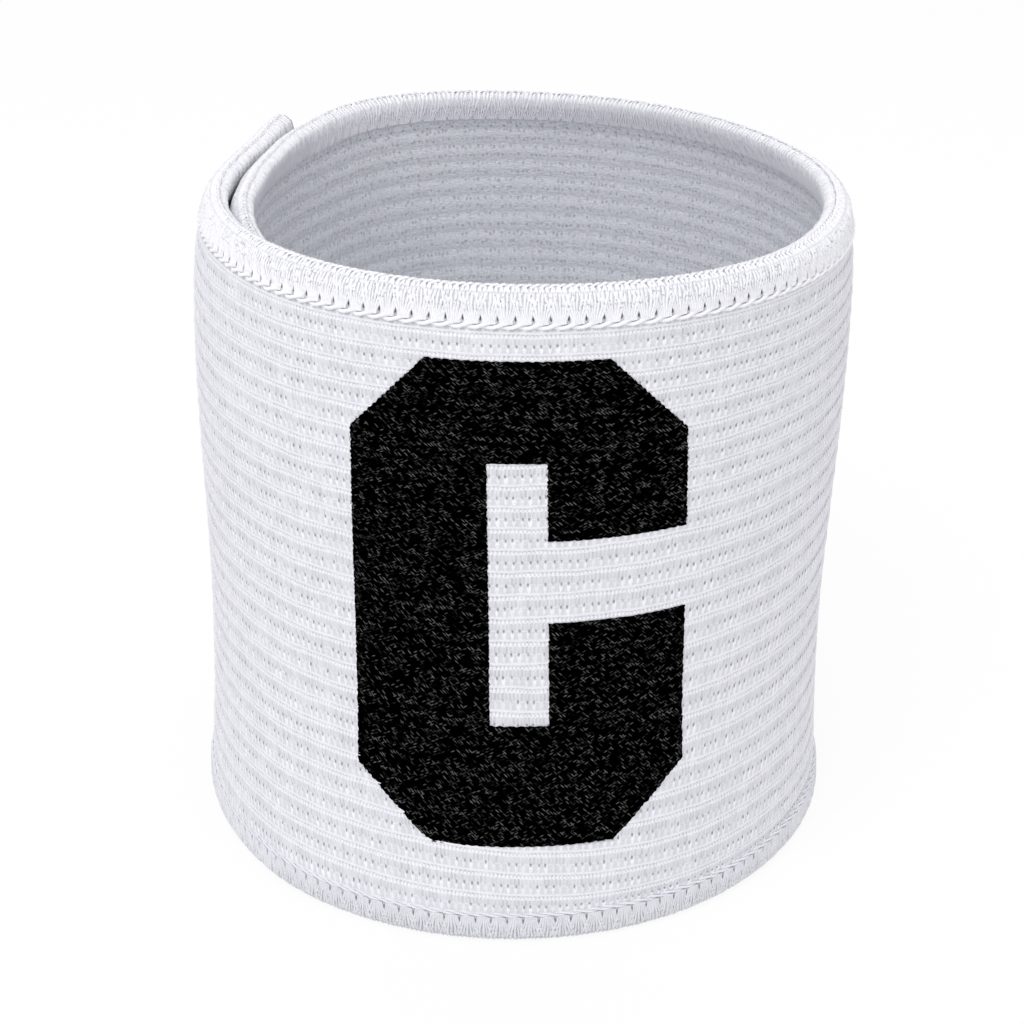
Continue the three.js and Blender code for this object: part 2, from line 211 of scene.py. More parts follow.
def outer_relief(column, course):
    """How far the outer face lies below its highest yarn, which is at OUTER_FACE."""
    row = np.clip(np.floor(course).astype(int), 0, RIBS - 1)
    rise = course - row
    stitch = np.clip(np.floor(column).astype(int), 0, COLUMNS)
    edge = np.abs(np.cos(np.pi * column))
    relief = read_table(COURSE, 1, rise)
    # Upright stitches, with gaps between them that are deeper at their feet, and their heads
    upright = window(rise, *UPRIGHTS, 0.05)
    relief = relief + upright * (0.06 + 0.1 * (0.85 - rise) / 0.4) * edge**2
    relief = relief + upright * 0.05 * stitch_size[stitch, row] * (1 - edge**2)
    relief = relief + window(rise, *HEADS, 0.03) * 0.06 * edge**2
    # Small loops that lean
    leaning = column + loop_lean(column) * (rise - LOOP_MIDDLE) * LOOP_SLANT
    loop_edge = np.abs(np.cos(np.pi * leaning))
    loops = window(rise, *LOOPS, 0.04)
    loop = np.clip(np.floor(leaning).astype(int), 0, COLUMNS)
    opening = 0.1 + 0.2 * (rise - 0.2)
    return relief + loops * (opening * loop_edge + 0.05 * loop_size[loop, row] * (1 - loop_edge**2))


def write_flat_map(mesh, layer, flat_map):
    """Gives each corner of each face the place of its point on the flat map."""
    corner = np.zeros(len(mesh.loops), np.int32)
    mesh.loops.foreach_get("vertex_index", corner)
    layer.uv.foreach_set("vector", np.asarray(flat_map, np.float32).reshape(-1, 2)[corner].ravel())


def mesh_piece(name, points, faces, flat_map, materials, slots=None):
    """A mesh object from points in metres, faces, a flat map per point and a material number per face."""
    mesh = bpy.data.meshes.new(name)
    mesh.from_pydata(np.asarray(points).reshape(-1, 3).tolist(), [], faces)
    write_flat_map(mesh, mesh.uv_layers.new(name="flat"), flat_map)
    for material in materials:
        mesh.materials.append(material)
    if slots is not None:
        mesh.polygons.foreach_set("material_index", np.asarray(slots, np.int32))
    mesh.update()
    piece = bpy.data.objects.new(name, mesh)
    bpy.context.scene.collection.objects.link(piece)
    select_only([piece])
    bpy.ops.object.shade_smooth_by_angle(angle=math.radians(SMOOTH_ANGLE))
    return piece


def select_only(pieces):
    """Selects these objects and nothing else, and makes the first the active one."""
    bpy.ops.object.select_all(action="DESELECT")
    for piece in pieces:
        piece.select_set(True)
    bpy.context.view_layer.objects.active = pieces[0]


def grid_faces(first, across, up, outwards):
    """Four-sided faces on a grid of points that are numbered upwards, then across."""
    at = first + np.arange(across + 1)[:, None] * (up + 1) + np.arange(up + 1)[None, :]
    corners = [at[:-1, :-1], at[:-1, 1:], at[1:, 1:], at[1:, :-1]]
    if not outwards:
        corners = corners[::-1]
    return np.stack(corners, axis=-1).reshape(-1, 4).tolist(), at


def course_rows(rows):
    """The courses at which a face has points, up to where it goes under the binding."""
    steps = [rib + row for rib in range(RIBS) for row in rows if rib + row < TOP_COURSE - 0.05]
    return np.array([*steps, TOP_COURSE])


class Socket:
    """One socket of a material. Sums, products and the like of sockets add Math nodes."""

    def __init__(self, tree, socket=None):
        self.tree = tree
        self.socket = socket

    def node(self, kind, settings=(), inputs=(), output=0):
        made = self.tree.nodes.new(kind)
        for name, value in dict(settings).items():
            setattr(made, name, value)
        for key, value in dict(inputs).items():
            if isinstance(value, Socket):
                self.tree.links.new(value.socket, made.inputs[key])
            else:
                made.inputs[key].default_value = value
        return Socket(self.tree, made.outputs[output])

    def maths(self, operation, *values):
        return self.node("ShaderNodeMath", {"operation": operation}, enumerate(values))

    def __add__(self, other):
        return self.maths("ADD", self, other)

    def __sub__(self, other):
        return self.maths("SUBTRACT", self, other)

    def __rsub__(self, other):
        return self.maths("SUBTRACT", other, self)

    def __mul__(self, other):
        return self.maths("MULTIPLY", self, other)

    __rmul__ = __mul__

    def fraction(self):
        return self.maths("FRACT", self)

    def whole(self):
        return self.maths("FLOOR", self)

    def size(self):
        return self.maths("ABSOLUTE", self)

    def wave(self):
        return self.maths("SINE", self * (2 * math.pi))

    def least(self, other):
        return self.maths("MINIMUM", self, other)

    def most(self, other):
        return self.maths("MAXIMUM", self, other)

    def fade(self, low, high):
        """0 at low and 1 at high, whichever is larger, with a soft change between them."""
        inputs = {"Value": self, "From Min": low, "From Max": high}
        return self.node("ShaderNodeMapRange", {"interpolation_type": "SMOOTHSTEP"}, inputs)

    def between(self, low, high, blur):
        return self.fade(low - blur, low + blur) * self.fade(high + blur, high - blur)

    def spot(self, other, radius, blur):
        """1 inside a round spot and 0 outside it, where self and other are distances from its middle."""
        away = self.maths("SQRT", self * self + other * other)
        return away.fade(radius + blur, radius - blur)

    def part(self, name):
        return self.node("ShaderNodeSeparateXYZ", inputs={0: self}, output=name)

    def blend(self, here, there):
        """A colour from here to there, by self as a share."""
        return self.node("ShaderNodeMix", {"data_type": "RGBA"}, {0: self, 6: here, 7: there}, 2)


def start_material(name, roughness, sheen=0.0, specular=0.25):
    """A new material, the start of its expressions, and its shader with the constant values set."""
    material = bpy.data.materials.new(name)
    material.use_nodes = True
    shader = material.node_tree.nodes["Principled BSDF"]
    shader.inputs["Roughness"].default_value = roughness
    shader.inputs["Sheen Weight"].default_value = sheen
    shader.inputs["Specular IOR Level"].default_value = specular
    return material, Socket(material.node_tree), shader


def finish_material(start, shader, colour, height, distance):
    """Joins a colour and a height in shares of a distance in millimetres to a shader."""
    start.tree.links.new(colour.socket, shader.inputs["Base Color"])
    inputs = {"Strength": 1.0, "Distance": distance * MM, "Height": height}
    bump = start.node("ShaderNodeBump", inputs=inputs)
    start.tree.links.new(bump.socket, shader.inputs["Normal"])


def flat_place(start):
    """The place on the flat map, along the strip and across it: on the knit, stitches and courses."""
    place = start.node("ShaderNodeTexCoord", output="UV")
    return place.part("X"), place.part("Y")


def yarn_fuzz(start, across, along, detail=3.0):
    """Fine fibres as noise, across and along them in millimetres on the flat map of stitches."""
    place = start.node("ShaderNodeTexCoord", output="UV")
    scale = (STITCH_WIDTH / across, STITCH_HEIGHT / along, 1)
    stretched = start.node("ShaderNodeMapping", inputs={0: place, 3: scale})
    return start.node("ShaderNodeTexNoise", inputs={"Vector": stretched, "Scale": 1.0, "Detail": detail})


def stitch_chance(start, column, course):
    """Three random numbers for each stitch of each course."""
    cell = start.node("ShaderNodeCombineXYZ", inputs={0: column.whole(), 1: course.whole()})
    noise = start.node("ShaderNodeTexWhiteNoise", {"noise_dimensions": "3D"}, {"Vector": cell}, "Color")
    return noise.part("X"), noise.part("Y"), noise.part("Z")


def knit_pattern(start):
    """The stitches finer than the mesh: (height of the yarn, painted shade in its grooves, holes and gaps,
    tone of its rows with painted shade and painted highlight).
    """
    column, course = flat_place(start)
    first, second, third = stitch_chance(start, column, course)
    wander = yarn_fuzz(start, 1.6, 1.2, 1.0) - 0.5
    rise = course.fraction()
    along = column.fraction() - 0.5
    # The groove between two courses, with rows of dots in it and under the heads of the stitches: painted
    # shade in the groove, the dots and the gaps between the beads
    from_groove = (rise.least(1 - rise) + wander * 0.04).size()
    groove = from_groove.fade(0.06, 0.0) * (second * 0.8 + 0.1)
    dot_across = ((column * DOTS + first * 0.3).fraction() - 0.5) * (STITCH_WIDTH / DOTS)
    groove_dots = dot_across.spot(from_groove * STITCH_HEIGHT, 0.09, 0.08) * (first * 0.9 + 0.2)
    head_dots = dot_across.spot((rise - 0.835) * STITCH_HEIGHT, 0.055, 0.07) * (third * 0.9 + 0.2)
    bead_gap = ((column * BEADS).fraction() - 0.5).size().fade(0.25, 0.5) * rise.between(0.87, 0.97, 0.02)
    # The upright double stitches, with painted shade between their strands, and the dark dots at their feet,
    # which are painted shade in the holes there
    upright = rise.between(0.48, 0.83, 0.03)
    strand_chance = stitch_chance(start, column * STRANDS + 0.25, course)[0]
    strands = ((column * STRANDS).wave() * 0.5 + 0.5).fade(0.3, 1.0) * (strand_chance + 0.15) * upright
    foot_across = (along + (first - 0.5) * 0.3) * (STITCH_WIDTH * 1.3)
    foot_dot = foot_across.spot((rise - 0.45 - 0.035 * third) * (STITCH_HEIGHT * 0.7), 0.13, 0.1)
    foot_dot = foot_dot * second.fade(-0.2, 0.6)
    # The small loops, which lean away from the middle of the front, their eyes and the cord under them: a
    # painted highlight along each loop, and painted shade beside it and in its eye
    lean = ((FRONT_COLUMN - column) * (1 / LEAN_COLUMNS)).least(1.0).most(-1.0)
    leaning = (column + lean * (rise - LOOP_MIDDLE) * LOOP_SLANT).fraction() - 0.5
    taper = (rise - LOOP_MIDDLE).size() * 0.8 + (first - 0.5) * 0.1
    stroke = (leaning.size() * STITCH_WIDTH + taper).fade(0.34, 0.14) * (second * 0.55 + 0.45)
    loops = rise.between(0.15, 0.45, 0.04)
    beside = loops * (1 - stroke)
    eye_up = (rise - 0.27) * STITCH_HEIGHT
    loop_eye = (leaning * STITCH_WIDTH).spot(eye_up, 0.035, 0.05) * third.fade(0.4, 0.9)
    loop_eye = loop_eye * lean.size().fade(0.5, 0.1)
    cord = rise.between(0.05, 0.15, 0.03)
    fibre = yarn_fuzz(start, 0.1, 0.5) * upright + yarn_fuzz(start, 0.16, 0.14) * (1 - upright)
    # Painted shade, height and tone of each place; the tone varies at random, with painted shade on the
    # uprights and beside the loops and a painted highlight on the loops
    shadow = foot_dot * 0.85 + beside * 0.28 + groove_dots * 0.5 + head_dots * 0.42 + loop_eye * 0.5
    shadow = (shadow + groove * 0.2 + bead_gap * 0.25 + strands * 0.2).least(1.0)
    height = fibre * 0.7 + stroke * loops * 0.5 + cord * 0.15 - foot_dot * 0.9 - loop_eye * 0.4
    height = height - strands * 0.45 - bead_gap * 0.4 - groove_dots * 0.4 - head_dots * 0.4
    tone = upright * 0.5 + beside * 0.2 - stroke * loops * 0.1 + (first - 0.5) * 0.2 + wander * 0.4
    return height, shadow, tone + (fibre - 0.5) * 0.7


def white_knit_material():
    material, start, shader = start_material("white_knit", roughness=0.95, sheen=0.15)
    height, shadow, tone = knit_pattern(start)
    # The darker yarn colour serves both the random tone and the painted shade; the grey colour is the
    # painted shade in grooves, holes and gaps
    yarn = tone.fade(-0.3, 0.9).blend((0.89, 0.89, 0.935, 1), (0.69, 0.69, 0.74, 1))
    colour = shadow.blend(yarn, (0.28, 0.28, 0.32, 1))
    finish_material(start, shader, colour, height, 0.14)
    return material


def inner_knit_material():
    """The inner face is the back of the same stitches: soft courses with floats of yarn and small gaps."""
    material, start, shader = start_material("inner_knit", roughness=1.0)
    column, course = flat_place(start)
    column_floats, course_floats = column * FLOATS[0], course * FLOATS[1]
    first, second, third = stitch_chance(start, column_floats, course_floats)
    rise = course.fraction()
    along = column_floats.fraction() - 0.5
    # Painted shade in the groove between courses
    groove = rise.least(1 - rise).fade(0.2, 0.0)
    # Painted shade in the small gaps
    across = (along + (first - 0.5) * 0.5) * (STITCH_WIDTH / FLOATS[0])
    gap = across.spot((course_floats.fraction() - 0.5 + (third - 0.5) * 0.3) * 0.8, 0.12, 0.15)
    gap = gap * second.fade(0.0, 0.9)
    # Painted shade in the needle holes
    needle_across = ((column * (1 / NEEDLE_COLUMNS)).fraction() - 0.5) * NEEDLE_COLUMNS
    needle = needle_across.spot((course - NEEDLE_COURSE) * 2.6, 0.16, 0.14)
    floats = yarn_fuzz(start, 0.5, 0.3)
    fibre = yarn_fuzz(start, 0.2, 0.2)
    height = floats * 0.7 + fibre * 0.5 - gap * 0.5
    tone = (floats - 0.5) * 1.4 + groove * 0.25 + (first - 0.5) * 0.1
    # The yarn is painted darker than the outer knit's, as painted shade inside the loop, and the grey is the
    # painted shade of the gaps and holes
    yarn = tone.fade(-0.4, 0.6).blend((0.78, 0.79, 0.835, 1), (0.52, 0.53, 0.57, 1))
    colour = (gap * 0.5).most(needle * 0.8).blend(yarn, (0.2, 0.2, 0.24, 1))
    finish_material(start, shader, colour, height, 0.2)
    return material


def knit_length(name, first, last, across, rows):
    """The wall from one column to another, with so many points across each column of the outer face."""
    columns = np.linspace(first, last, (last - first) * across + 1)[:, None]
    courses = course_rows(rows)[None, :]
    outer = OUTER_FACE - outer_relief(columns, courses) - under_letter(columns, courses)
    outer_points = wall_point(column_turn(columns), course_height(columns, courses), outer)
    inner_columns = np.arange(first, last + 1, dtype=float)[:, None]
    inner_courses = course_rows(INNER_ROWS)[None, :]
    inner_rise = inner_courses - np.floor(inner_courses)
    inner = -OUTER_FACE + read_table(INNER_COURSE, 1, inner_rise) + 0 * inner_columns
    inner_heights = course_height(inner_columns, inner_courses)
    inner_points = wall_point(column_turn(inner_columns), inner_heights, inner)
    up = courses.size - 1
    inner_up = inner_courses.size - 1
    outer_faces, outer_at = grid_faces(0, columns.size - 1, up, True)
    inner_faces, inner_at = grid_faces(outer_at.size, inner_columns.size - 1, inner_up, False)
    edges = []
    for column in range(last - first):
        fine = outer_at[column * across : (column + 1) * across + 1]
        coarse = inner_at[column : column + 2]
        edges.append([*fine[:, 0], *coarse[::-1, 0]])
        edges.append([*fine[::-1, -1], *coarse[:, -1]])
    per_course, inner_per_course = len(rows), len(INNER_ROWS)
    for rib in range(RIBS):
        fine = outer_at[:, rib * per_course : (rib + 1) * per_course + 1]
        coarse = inner_at[:, rib * inner_per_course : (rib + 1) * inner_per_course + 1]
        edges.append([*fine[0, ::-1], *coarse[0]])
        edges.append([*fine[-1], *coarse[-1, ::-1]])
    edges = [[int(corner) for corner in face] for face in edges]
    points = np.concatenate([outer_points.reshape(-1, 3), inner_points.reshape(-1, 3)])
    outer_map = np.stack(np.broadcast_arrays(columns, courses), axis=-1).reshape(-1, 2)
    inner_map = np.stack(np.broadcast_arrays(inner_columns, inner_courses), axis=-1).reshape(-1, 2)
    flat_map = np.concatenate([outer_map, inner_map])
    faces = outer_faces + inner_faces + edges
    slots = [0] * len(outer_faces) + [1] * len(inner_faces) + [0] * len(edges)
    piece = mesh_piece(name, points, faces, flat_map, [white_knit, inner_knit], slots)
    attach(piece, "root")
    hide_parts("band")


# The letter's outline, a plain block C that widens a little towards its foot. It is needed here because
# the white knit is sunk under the black.
LETTER_WIDTH = 38.1  # at half its height
LETTER_SPREAD = 0.095  # share of its width that it gains from top to foot
LETTER_STEM = 15.6
LETTER_SLOT = 6.6
LETTER_TOP_ARM = 11.4
LETTER_FOOT_ARM = 15.9
LETTER_MOUTH = 10.1
LETTER_CHAMFER = 8.8
LETTER_TOP = BAND_HEIGHT - 7.4
LETTER_FOOT = 12.8
LETTER_HEIGHT = LETTER_TOP - LETTER_FOOT
LETTER_TURN = 319.7
LETTER_LEAN = 2.1  # turn that its middle gains from foot to top
MOUTH_PLACE = 0.56
LETTER_RIGHT = LETTER_WIDTH / 2
SLOT_LEFT = LETTER_STEM - LETTER_RIGHT
SLOT_RIGHT = SLOT_LEFT + LETTER_SLOT
SLOT_FOOT = LETTER_FOOT + LETTER_FOOT_ARM
SLOT_TOP = LETTER_TOP - LETTER_TOP_ARM
MOUTH_MIDDLE = SLOT_FOOT + MOUTH_PLACE * (SLOT_TOP - SLOT_FOOT)
LETTER_SUNK = 1.0  # how far the white knit lies below the black
LETTER_OVERLAP = 0.45  # black yarn that reaches over the white beside it


def inside_letter(across, height):
    """How far a place on the front lies inside the letter's edge, and below 0 outside it."""
    from_side = LETTER_RIGHT - np.abs(across)
    from_top = LETTER_TOP - height
    from_foot = height - LETTER_FOOT
    body = np.minimum(from_side, np.minimum(from_foot, from_top))
    corner = (from_side + np.minimum(from_foot, from_top) - LETTER_CHAMFER) / math.sqrt(2)
    from_slot = np.maximum(
        np.abs(across - (SLOT_LEFT + SLOT_RIGHT) / 2) - LETTER_SLOT / 2,
        np.abs(height - (SLOT_FOOT + SLOT_TOP) / 2) - (SLOT_TOP - SLOT_FOOT) / 2,
    )
    from_mouth = np.maximum(SLOT_LEFT - across, np.abs(height - MOUTH_MIDDLE) - LETTER_MOUTH / 2)
    return np.minimum(np.minimum(body, corner), np.minimum(from_slot, from_mouth))


def letter_turn(across, height):
    rise = (height - LETTER_FOOT) / LETTER_HEIGHT - 0.5
    widened = across * (1 - LETTER_SPREAD * rise)
    return LETTER_TURN + LETTER_LEAN * rise - np.degrees(widened / (RING_RADIUS + OUTER_FACE))


def under_letter(columns, courses):
    heights = course_height(columns, courses)
    rise = (heights - LETTER_FOOT) / LETTER_HEIGHT - 0.5
    turn_left = LETTER_TURN + LETTER_LEAN * rise - column_turn(columns)
    widened = np.radians(turn_left) * (RING_RADIUS + OUTER_FACE)
    within = inside_letter(widened / (1 - LETTER_SPREAD * rise), heights)
    return LETTER_SUNK * (within > LETTER_OVERLAP)


white_knit = white_knit_material()
inner_knit = inner_knit_material()
knit_length("knit_inner_end", 0, 55, 1, HIDDEN_ROWS)
knit_length("knit_rear_left", 55, 112, 3, PLAIN_ROWS)
knit_length("knit_rear_right", 112, 174, 3, PLAIN_ROWS)
knit_length("knit_front_right", 174, 216, 4, FINE_ROWS)
knit_length("knit_front_middle", 216, 260, 5, FINE_ROWS)
knit_length("knit_front_left", 260, 302, 4, FINE_ROWS)
knit_length("knit_free_end", 302, COLUMNS, 3, PLAIN_ROWS)


# The letter: the same stitches worked in black yarn, a little proud of the white, with the short ends of
# the stitches making a fine toothed edge. It is cut from a fine grid and bent round the front.
LETTER_STEP = 0.27
LETTER_PROUD = 0.12
LETTER_THICKNESS = 0.6
LETTER_RELIEF = 0.55  # share of the white knit's relief that the black yarn keeps
LETTER_ROUNDING = 0.08  # how much lower the letter lies at its edge
ROUNDED_STRIP = 0.5  # from its edge to where it lies at its full height
TOOTH = 0.1
PEAK_DEPTH = 0.13  # white stitches that stand into the level edges
PEAK_PITCH = 1.1
PEAK_REACH = 0.3  # from its tip to its foot along the edge
NEAR = 0.05  # step for reading the direction inwards
EDGE = 0.02  # points nearer the outline than this are on it
LEVEL = 0.8  # share of the direction inwards that is upright where an edge counts as level
COURSE_SAMPLES = 40  # for finding the course at a height, in each course


def face_middles(mesh):
    middles = np.zeros(len(mesh.polygons) * 3, np.float32)
    mesh.polygons.foreach_get("center", middles)
    return middles.reshape(-1, 3)


def read_points(mesh):
    points = np.zeros(len(mesh.vertices) * 3, np.float32)
    mesh.vertices.foreach_get("co", points)
    return points.reshape(-1, 3).astype(float)


def write_points(mesh, points):
    mesh.vertices.foreach_set("co", np.asarray(points, np.float32).ravel())
    mesh.update()


def yarn_glints(start, across, up, slope, length, width, seed):
    """Painted glints: short bright strokes of yarn at a slope, one in each cell, of random strength and
    place.
    """
    run, rise = math.cos(slope), math.sin(slope)
    forward = (across * run + up * rise) * (1 / length)
    sideways = (up * run - across * rise) * (1 / width)
    forward = forward + sideways.whole() * 0.37
    cell = start.node("ShaderNodeCombineXYZ", inputs={0: forward.whole(), 1: sideways.whole(), 2: seed})
    noise = start.node("ShaderNodeTexWhiteNoise", {"noise_dimensions": "3D"}, {"Vector": cell}, "Color")
    first, second, third = noise.part("X"), noise.part("Y"), noise.part("Z")
    middle = (forward.fraction() - 0.5 + (first - 0.5) * 0.3) * 0.6
    stroke = middle.spot(sideways.fraction() - 0.5 + (second - 0.5) * 0.3, 0.2, 0.12)
    return stroke * third.fade(0.6, 1.0)


def black_knit_material():
    """Black yarn, almost without light but for the short glints of its twisted threads, which are painted
    highlights in its colour.
    """
    material, start, shader = start_material("black_knit", roughness=0.9, specular=0.0)
    column, course = flat_place(start)
    across = column * STITCH_WIDTH
    up = course * STITCH_HEIGHT
    main = yarn_glints(start, across, up, slope=math.radians(42), length=0.75, width=0.26, seed=1.0)
    other = yarn_glints(start, across, up, slope=math.radians(-25), length=0.6, width=0.3, seed=2.0)
    patch = yarn_fuzz(start, 2.2, 1.2, 1.0).fade(0.35, 0.6) * 0.6 + 0.4
    rows = (course * 2.0).fraction().between(0.15, 0.85, 0.15) * 0.7 + 0.3
    # Painted highlights: the glints, brighter in patches and rows
    bright = (main.most(other * 0.7) * patch * rows).least(1.0)
    colour = bright.blend((0.0002, 0.0002, 0.0002, 1), (0.15, 0.15, 0.153, 1))
    finish_material(start, shader, colour, bright, 0.06)
    return material


bpy.ops.object.select_all(action="DESELECT")
across_steps = round(LETTER_WIDTH / LETTER_STEP)
up_steps = round(LETTER_HEIGHT / LETTER_STEP)
bpy.ops.mesh.primitive_grid_add(x_subdivisions=across_steps, y_subdivisions=up_steps, size=1)
letter = bpy.context.object
letter.name = letter.data.name = "captain_c"
grid = read_points(letter.data)
grid[:, 0] *= LETTER_WIDTH
grid[:, 1] = (grid[:, 1] + 0.5) * LETTER_HEIGHT + LETTER_FOOT
write_points(letter.data, grid)
# The corners are cut off, and the edges of the slot and the mouth are cut into the grid
bpy.ops.object.mode_set(mode="EDIT")
for side in (-1, 1):
    for end, height in ((1, LETTER_TOP), (-1, LETTER_FOOT)):
        corner = (side * (LETTER_RIGHT - LETTER_CHAMFER), height, 0)
        bpy.ops.mesh.select_all(action="SELECT")
        bpy.ops.mesh.bisect(plane_co=corner, plane_no=(side, end, 0), clear_outer=True)
for height in (SLOT_FOOT, SLOT_TOP, MOUTH_MIDDLE - LETTER_MOUTH / 2, MOUTH_MIDDLE + LETTER_MOUTH / 2):
    bpy.ops.mesh.select_all(action="SELECT")
    bpy.ops.mesh.bisect(plane_co=(0, height, 0), plane_no=(0, 1, 0))
for across in (SLOT_LEFT, SLOT_RIGHT):
    bpy.ops.mesh.select_all(action="SELECT")
    bpy.ops.mesh.bisect(plane_co=(across, 0, 0), plane_no=(1, 0, 0))
bpy.ops.object.mode_set(mode="OBJECT")
# The faces of the slot and the mouth are deleted
middles = face_middles(letter.data)
letter.data.polygons.foreach_set("select", inside_letter(middles[:, 0], middles[:, 1]) < 0)
letter.data.edges.foreach_set("select", np.zeros(len(letter.data.edges), bool))
letter.data.vertices.foreach_set("select", np.zeros(len(letter.data.vertices), bool))
letter.data.update()
bpy.ops.object.mode_set(mode="EDIT")
bpy.ops.mesh.delete(type="FACE")
bpy.ops.object.mode_set(mode="OBJECT")

# Each point finds its stitch on the strip, and the points on the outline make the teeth and peaks
across, heights = read_points(letter.data)[:, :2].T
course_samples = np.linspace(0, TOP_COURSE, RIBS * COURSE_SAMPLES + 1)
letter_courses = np.interp(heights, course_height(FRONT_COLUMN, course_samples), course_samples)
letter_columns = (letter_turn(across, heights) - STRIP_START) / COLUMN_TURN
depth_in = inside_letter(across, heights)
inwards = np.stack(
    [
        inside_letter(across + NEAR, heights) - inside_letter(across - NEAR, heights),
        inside_letter(across, heights + NEAR) - inside_letter(across, heights - NEAR),
    ],
    axis=-1,
)
inwards /= np.linalg.norm(inwards, axis=-1, keepdims=True) + 1e-9
level = np.abs(inwards[:, 1]) > LEVEL
from_peak = np.abs((across / PEAK_PITCH) % 1 - 0.5) * PEAK_PITCH
peaks = PEAK_DEPTH * np.clip(1 - from_peak / PEAK_REACH, 0, 1)
tooth_size = 0.6 * np.cos(math.pi * heights / LETTER_STEP) + 0.6 * chance.uniform(-1, 1, len(across))
teeth = TOOTH * tooth_size
shift = np.where(depth_in < EDGE, np.where(level, peaks + 0.3 * teeth, teeth), 0)
across = across + shift * inwards[:, 0]
heights = heights + shift * inwards[:, 1]
# The letter is bent round the front, with the relief of the stitches, and made into a thick sheet
relief = outer_relief(letter_columns, letter_courses)
rounding = LETTER_ROUNDING * (1 - smooth_step(0, ROUNDED_STRIP, depth_in))
letter_depth = OUTER_FACE + LETTER_PROUD - LETTER_RELIEF * relief - rounding
write_points(letter.data, wall_point(letter_turn(across, heights), heights, letter_depth))
letter_map = np.stack([letter_columns, letter_courses], axis=-1)
write_flat_map(letter.data, letter.data.uv_layers[0], letter_map)
letter.data.materials.append(black_knit_material())
thick = letter.modifiers.new("thick", "SOLIDIFY")
thick.thickness = LETTER_THICKNESS * MM
thick.offset = -1
bpy.ops.object.modifier_apply(modifier="thick")
bpy.ops.object.shade_smooth()
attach(letter, "root")
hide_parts("captain_letter")
corners = 2 * LETTER_CHAMFER**2
openings = LETTER_SLOT * (SLOT_TOP - SLOT_FOOT) + LETTER_MOUTH * (LETTER_RIGHT - SLOT_RIGHT)
(LETTER_WIDTH * LETTER_HEIGHT - corners - openings) * MM * MM


# The borders: white thread overlocked round each edge of the knit. Bundles of strands leave a row of
# needle holes in fans, climb over the edge and go down the inner face, and a chain of loops lies on the
# crest. Under the strands is a roll of packed thread. A few fans are made flat and repeated along the strip.
STRIP_LENGTH = math.radians(STRIP_END - STRIP_START) * (RING_RADIUS + OUTER_FACE)
FANS = 160
FAN_KINDS = 4
FAN_PITCH = STRIP_LENGTH / FANS
FAN_STRANDS = 7
FAN_SPREAD = 2.3  # width of a fan's tip in pitches, so that it crosses over its neighbours
FAN_FOOT = 0.2  # between strands at the needle holes
STRAND_RADIUS = 0.17
RIM_ROUNDING = 1.5
FOOT_ROUNDING = 1.1
BORDER_REACH = 3.45  # how far the strands come down from the edge
CHAIN_RADIUS = 0.18
CHAIN_PITCH = FAN_PITCH / 2
CHAIN_DEPTH = 0.15
CHAIN_STEPS = 5
TOP_CHAIN_DROP = 0.16
FOOT_CHAIN_DROP = 0.42
ROLL_INSET = 0.2  # how far the roll lies under the face of its border
PARTINGS = (4.7, 2.1)  # small gaps between strands, along a pitch and down a millimetre
PLIES = 8.3  # plies of the strands along a pitch
INNER_MAP = 10  # added to the distance from the edge on the flat map of a border's inner side
# Shares of the way round each border at which its strands have points.
TOP_SHARES = [0, 0.05, 0.11, 0.18, 0.26, 0.36, 0.45, 0.55, 0.66, 0.8, 1]
FOOT_SHARES = [0, 0.08, 0.17, 0.28, 0.4, 0.5, 0.6, 0.75, 1]


def border_outline(rounding, inset, steps):
    """Places round a border, as depth and distance from the edge, from outside over the crest to inside."""
    face = BORDER_FACE - inset
    curve = rounding - inset
    straight = np.linspace(BORDER_REACH, rounding, steps, endpoint=False)
    outer = [(face, drop) for drop in straight]
    for side in (1, -1):
        angles = np.linspace(0, math.pi / 2, steps + 1)
        arc = [
            (face - curve * (1 - math.cos(angle)), rounding - curve * math.sin(angle)) for angle in angles
        ]
        outer += arc if side > 0 else [(-depth, drop) for depth, drop in reversed(arc)]
    outer += [(-face, drop) for drop in reversed(straight)]
    return np.array(outer)


def walk_outline(outline, share):
    """The place at a share of the way along an outline."""
    step = np.linalg.norm(np.diff(outline, axis=0), axis=1)
    gone = np.concatenate([[0], np.cumsum(step)])
    at = np.asarray(share) * gone[-1]
    return np.stack([np.interp(at, gone, outline[:, 0]), np.interp(at, gone, outline[:, 1])], axis=-1)


def thread_curve(name, lines, radius, resolution=0):
    """Round threads along lines of points on the flat strip, as one mesh."""
    curve = bpy.data.curves.new(name, "CURVE")
    curve.dimensions = "3D"
    curve.bevel_depth = radius
    curve.bevel_resolution = resolution
    curve.use_fill_caps = True
    for line in lines:
        spline = curve.splines.new("POLY")
        spline.points.add(len(line) - 1)
        flat_points = np.concatenate([line, np.ones((len(line), 1))], axis=1)
        spline.points.foreach_set("co", flat_points.ravel())
    piece = bpy.data.objects.new(name, curve)
    bpy.context.scene.collection.objects.link(piece)
    select_only([piece])
    bpy.ops.object.convert(target="MESH")
    return bpy.context.object


def repeat_along(piece, count, pitch):
    """Copies a flat piece along the strip."""
    select_only([piece])
    row = piece.modifiers.new("row", "ARRAY")
    row.count = count
    row.use_relative_offset = False
    row.use_constant_offset = True
    row.constant_offset_displace = (pitch, 0, 0)
    bpy.ops.object.modifier_apply(modifier="row")


